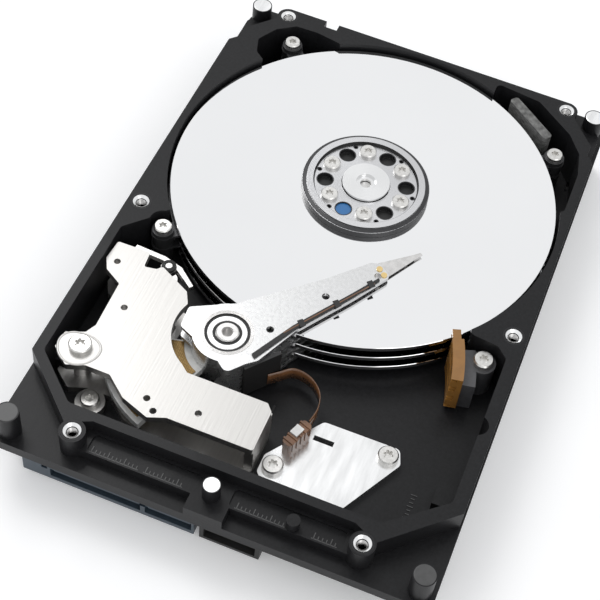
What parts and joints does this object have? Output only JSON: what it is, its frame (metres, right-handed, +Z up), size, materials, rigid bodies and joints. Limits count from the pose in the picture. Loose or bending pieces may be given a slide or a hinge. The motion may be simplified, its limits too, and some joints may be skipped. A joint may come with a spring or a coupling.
{
  "type": "hard disk drive",
  "caption": "Open 3.5-inch hard disk drive with a spinning disc stack, swinging head arm, voice coil motor, ramp and data plug, shown without its cover.",
  "frame": {"origin": "centre of the drive's footprint at the underside of the rails", "axes": "+X across the width, +Y along the length away from the connector end, +Z up out of the open side"},
  "size_m": [0.1016, 0.147, 0.0202],
  "materials": {
    "casting": "satin",
    "board": "satin",
    "chip": "matte",
    "connector": "satin",
    "contact": "polished",
    "plastic_black": "satin",
    "screw_steel": "satin",
    "pad": "matte",
    "core": "matte",
    "copper": "satin",
    "steel": "satin",
    "plate": "satin",
    "magnet": "polished",
    "amber": "gloss",
    "plastic_grey": "satin",
    "bright": "satin",
    "plastic_brown": "satin",
    "flex": "satin",
    "fibre": "matte",
    "mirror": "mirror",
    "machined": "machined",
    "blue": "gloss",
    "plastic_white": "satin",
    "rubber": "matte",
    "slider": "satin",
    "brass": "satin"
  },
  "bodies": {
    "base": {"base_casting": "casting", "pcb": "board", "controller_chip": "chip", "memory_chip": "chip", "motor_driver_chip": "chip", "sata_connector": "connector", "sata_contacts": "contact", "jumper_block": "plastic_black", "jumper_pins": "contact", "pcb_screws": "screw_steel", "insulator_pad": "pad", "stator_core": "core", "stator_coils": "copper", "spindle_shaft": "steel", "vcm_top_plate": "plate", "vcm_bottom_plate": "plate", "vcm_magnet_upper": "magnet", "vcm_magnet_lower": "magnet", "vcm_screws": "screw_steel", "vcm_posts": "steel", "pivot_shaft": "steel", "pivot_bearings": "steel", "ramp": "amber", "ramp_bracket": "plastic_grey", "ramp_screw": "screw_steel", "flex_bracket": "bright", "flex_bracket_screws": "screw_steel", "flex_support": "plastic_brown", "flex_ribbon": "flex", "separator_plate_1": "bright", "separator_plate_2": "bright", "separator_screws": "screw_steel", "recirculation_filter": "fibre", "latch_pin": "steel"},
    "spindle": {"spindle_hub": "bright", "platter_1": "mirror", "platter_2": "mirror", "platter_3": "mirror", "disc_spacer_1": "bright", "disc_spacer_2": "bright", "disc_clamp": "machined", "clamp_screws": "screw_steel", "balance_plug": "blue", "rotor_magnet": "magnet"},
    "actuator": {"e_block": "machined", "pivot_sleeve": "steel", "voice_coil": "copper", "coil_frame": "plastic_white", "crash_stop_bumper": "rubber", "suspensions": "steel", "head_sliders": "slider", "swage_bosses": "brass", "preamp_flex": "flex", "head_flex": "flex"},
    "latch": {"inertia_latch": "plastic_black"}
  },
  "joints": [
    {"name": "spindle_spin", "type": "hinge", "parent": "base", "child": "spindle", "pos_m": [0, 0.024, 0.01], "axis": [0, 0, 1], "continuous": true},
    {"name": "actuator_pivot", "type": "hinge", "parent": "base", "child": "actuator", "pos_m": [-0.0132, -0.0312, 0.01], "axis": [0, 0, 1], "range_deg": [-39, 6.6], "deforming": ["flex_ribbon"]},
    {"name": "latch_pivot", "type": "hinge", "parent": "base", "child": "latch", "pos_m": [-0.034, -0.0173, 0.014], "axis": [0, 0, 1], "range_deg": [-5, 5]}
  ]
}
